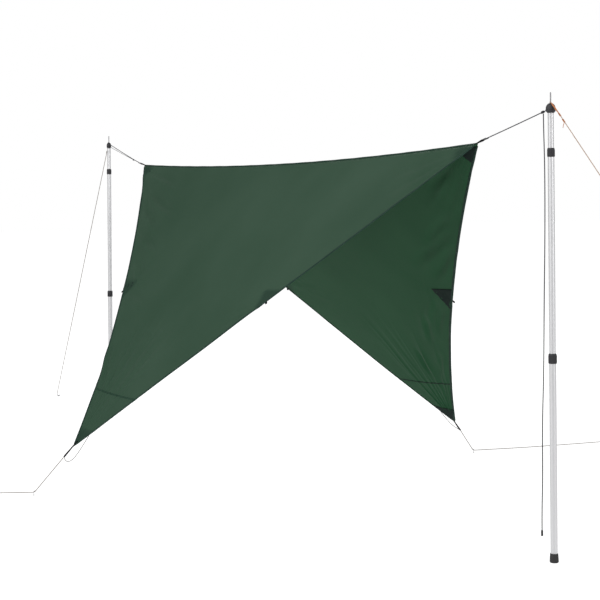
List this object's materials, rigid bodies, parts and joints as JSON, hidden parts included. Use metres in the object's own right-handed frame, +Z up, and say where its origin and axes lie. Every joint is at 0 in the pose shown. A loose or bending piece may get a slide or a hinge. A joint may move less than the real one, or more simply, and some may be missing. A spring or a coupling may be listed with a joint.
{
  "type": "tarp shelter",
  "caption": "Square fabric tarp hung from two opposite corners between telescoping poles, with its other two corners pulled down by ground lines.",
  "frame": {"origin": "on the ground, below the middle of the box round the canopy and the poles", "axes": "+Z up, +X along the ridge towards the pole nearer the viewer, +Y across the ridge towards the wing further from the viewer"},
  "size_m": [8.5498, 4.1846, 2.15],
  "materials": {
    "fabric": "coated ripstop, dull green",
    "binding": "dark green tape",
    "patch": "black coated cloth",
    "webbing": "black woven tape",
    "black_plastic": "black, moulded",
    "charcoal_plastic": "charcoal, moulded",
    "collet_plastic": "natural white",
    "aluminium_tube": "satin drawn tube",
    "steel": "plated",
    "guy_cord": "braided, tan to orange",
    "black_cord": "braided, black"
  },
  "bodies": {
    "shelter": {"edge_loops": "webbing", "edge_patches": "patch", "far_back_binding": "binding", "far_corner_panel": "fabric", "far_front_binding": "binding", "far_guyline": "guy_cord", "far_head": "charcoal_plastic", "far_head_line": "black_cord", "far_head_plug": "black_plastic", "far_lug": "black_plastic", "far_ridge_strap": "webbing", "far_second_line": "black_cord", "far_spike": "steel", "far_tip_line": "guy_cord", "far_tip_loop": "guy_cord", "far_tip_patch": "patch", "far_tip_strap": "webbing", "far_upper_tube": "aluminium_tube", "far_wing_far_patch": "patch", "far_wing_near_patch": "patch", "far_wing_panel": "fabric", "ground_pegs": "steel", "guy_tensioners": "black_plastic", "line_locks": "black_plastic", "near_back_binding": "binding", "near_corner_panel": "fabric", "near_front_binding": "binding", "near_guyline": "guy_cord", "near_head": "charcoal_plastic", "near_head_line": "black_cord", "near_head_plug": "black_plastic", "near_line_tail": "black_cord", "near_ridge_strap": "webbing", "near_spike": "steel", "near_tip_line": "guy_cord", "near_tip_loop": "guy_cord", "near_tip_patch": "patch", "near_tip_strap": "webbing", "near_upper_tube": "aluminium_tube", "near_wing_far_patch": "patch", "near_wing_near_patch": "patch", "near_wing_panel": "fabric", "ridge_buckles": "black_plastic", "ridge_tape": "binding", "tail_stopper": "black_plastic"},
    "near_middle": {"near_middle_tube": "aluminium_tube", "near_upper_collet": "collet_plastic"},
    "near_lower": {"near_lower_tube": "aluminium_tube", "near_foot": "charcoal_plastic", "near_lower_collet": "collet_plastic"},
    "near_upper_twist": {"near_upper_collar": "charcoal_plastic"},
    "near_lower_twist": {"near_lower_collar": "charcoal_plastic"},
    "far_middle": {"far_middle_tube": "aluminium_tube", "far_upper_collet": "collet_plastic"},
    "far_lower": {"far_lower_tube": "aluminium_tube", "far_foot": "charcoal_plastic", "far_lower_collet": "collet_plastic"},
    "far_upper_twist": {"far_upper_collar": "charcoal_plastic"},
    "far_lower_twist": {"far_lower_collar": "charcoal_plastic"}
  },
  "joints": [
    {"name": "near_middle_slide", "type": "slide", "parent": "shelter", "child": "near_middle", "axis": [0, 0, 1], "range_m": [-0.45, 0.14]},
    {"name": "near_lower_slide", "type": "slide", "parent": "near_middle", "child": "near_lower", "axis": [0, 0, 1], "range_m": [-0.16, 0.58]},
    {"name": "near_upper_collar_twist", "type": "hinge", "parent": "near_middle", "child": "near_upper_twist", "pos_m": [2.789, 0.06, 1.87], "axis": [0, 0, 1], "range_deg": [0, 180]},
    {"name": "near_lower_collar_twist", "type": "hinge", "parent": "near_lower", "child": "near_lower_twist", "pos_m": [2.789, 0.06, 0.93], "axis": [0, 0, 1], "range_deg": [0, 180]},
    {"name": "far_middle_slide", "type": "slide", "parent": "shelter", "child": "far_middle", "axis": [0, 0, 1], "range_m": [-0.45, 0.14]},
    {"name": "far_lower_slide", "type": "slide", "parent": "far_middle", "child": "far_lower", "axis": [0, 0, 1], "range_m": [-0.16, 0.58]},
    {"name": "far_upper_collar_twist", "type": "hinge", "parent": "far_middle", "child": "far_upper_twist", "pos_m": [-2.789, 0.06, 1.87], "axis": [0, 0, 1], "range_deg": [0, 180]},
    {"name": "far_lower_collar_twist", "type": "hinge", "parent": "far_lower", "child": "far_lower_twist", "pos_m": [-2.789, 0.06, 0.93], "axis": [0, 0, 1], "range_deg": [0, 180]}
  ]
}
